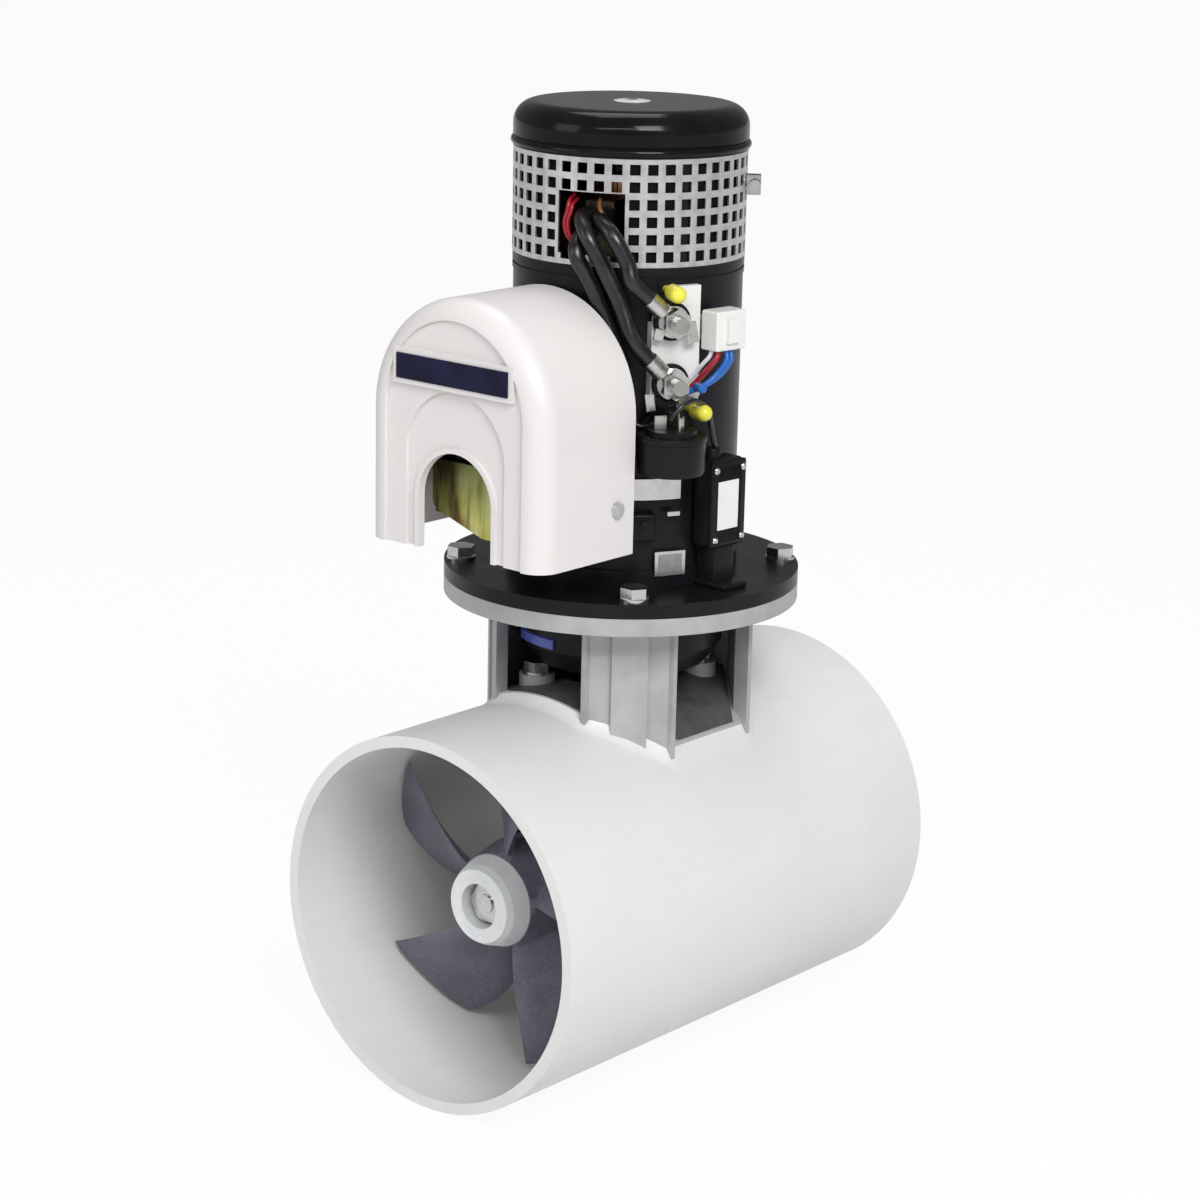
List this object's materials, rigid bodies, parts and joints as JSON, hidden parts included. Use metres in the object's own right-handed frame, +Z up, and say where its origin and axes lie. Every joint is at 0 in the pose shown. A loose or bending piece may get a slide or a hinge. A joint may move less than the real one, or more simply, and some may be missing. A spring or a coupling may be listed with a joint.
{
  "type": "bow thruster",
  "caption": "Electric bow thruster: short tunnel with a propeller on a gear leg, cast saddle, upright DC motor with a perforated brush band, hood, contactors and cables.",
  "frame": {"origin": "on the tunnel axis, straight under the motor axis, at the middle of the tunnel's length", "axes": "+Z up along the motor axis, +Y along the tunnel axis away from the propeller"},
  "size_m": [0.197, 0.293, 0.5038],
  "materials": {
    "tunnel_gelcoat": "satin glass-fibre laminate",
    "cast_aluminium": "as-cast, lightly blasted",
    "leg_bronze": "black coated bronze",
    "gasket_rubber": "matte",
    "stainless": "bright stainless",
    "bearing_steel": "ground",
    "shaft_steel": "ground steel",
    "gear_steel": "hardened steel",
    "black_paint": "satin black enamel",
    "cap_black": "gloss",
    "blue_plastic": "satin",
    "perforated_steel": "bright sheet",
    "magnet": "sintered",
    "lamination": "varnished laminations",
    "copper_winding": "enamelled copper",
    "copper": "copper",
    "brass": "bright",
    "carbon": "carbon",
    "spring_steel": "spring steel",
    "tinned_copper": "tinned",
    "coupling_cast": "machined",
    "coupling_rubber": "matte",
    "hood_plastic": "semi-gloss moulding",
    "badge_navy": "gloss",
    "yellow_passivate": "yellow chromate",
    "black_plastic": "satin",
    "white_plastic": "satin",
    "yellow_plastic": "gloss",
    "cable_rubber": "satin",
    "propeller_composite": "satin composite",
    "zinc": "cast zinc"
  },
  "bodies": {
    "thruster": {"tunnel_tube": "tunnel_gelcoat", "saddle_bracket": "cast_aluminium", "gear_leg_housing": "leg_bronze", "leg_gasket": "gasket_rubber", "leg_bolts": "stainless", "leg_front_cover": "leg_bronze", "drive_shaft_lower_bearing": "bearing_steel", "drive_shaft_upper_bearing": "bearing_steel", "drive_shaft_seal": "gasket_rubber", "propeller_rear_bearing": "bearing_steel", "propeller_front_bearing": "bearing_steel", "propeller_shaft_seal": "gasket_rubber", "motor_flange": "black_paint", "spigot_ring": "blue_plastic", "flange_bolts": "stainless", "motor_yoke": "black_paint", "field_magnets": "magnet", "motor_lower_bearing": "bearing_steel", "motor_upper_bearing": "bearing_steel", "commutator_end_frame": "black_paint", "brush_holders": "brass", "brushes": "carbon", "brush_springs": "spring_steel", "brush_band": "perforated_steel", "band_clamp": "stainless", "motor_cap": "cap_black", "hood": "hood_plastic", "hood_badge": "badge_navy", "hood_screws": "stainless", "hood_strap": "stainless", "contactor_bracket": "yellow_passivate", "contactors": "black_plastic", "contactor_studs": "brass", "bus_bar": "copper", "terminal_insulators": "white_plastic", "terminal_studs": "brass", "terminal_nuts": "stainless", "terminal_caps": "yellow_plastic", "power_lugs": "tinned_copper", "relay": "black_plastic", "control_box": "black_plastic", "connector": "white_plastic", "upper_terminal_cable": "cable_rubber", "lower_terminal_cable": "cable_rubber", "contactor_cable": "cable_rubber"},
    "motor_rotor": {"motor_shaft": "shaft_steel", "armature_core": "lamination", "armature_windings": "copper_winding", "commutator": "copper", "coupling_upper_hub": "coupling_cast", "coupling_spider": "coupling_rubber", "coupling_lower_hub": "coupling_cast", "drive_shaft": "shaft_steel", "drive_pinion": "gear_steel"},
    "propeller_line": {"propeller": "propeller_composite", "propeller_shaft": "shaft_steel", "crown_gear": "gear_steel", "drive_pin": "stainless", "zinc_anode": "zinc", "propeller_nut": "stainless"}
  },
  "joints": [
    {"name": "motor_spin", "type": "hinge", "parent": "thruster", "child": "motor_rotor", "pos_m": [0, 0, 0.2], "axis": [0, 0, 1], "continuous": true},
    {"name": "propeller_spin", "type": "hinge", "parent": "thruster", "child": "propeller_line", "pos_m": [0, 0, 0], "axis": [0, 1, 0], "continuous": true}
  ],
  "couplings": [
    {"joint": "propeller_spin", "follows": "motor_spin", "ratio": -0.5}
  ]
}
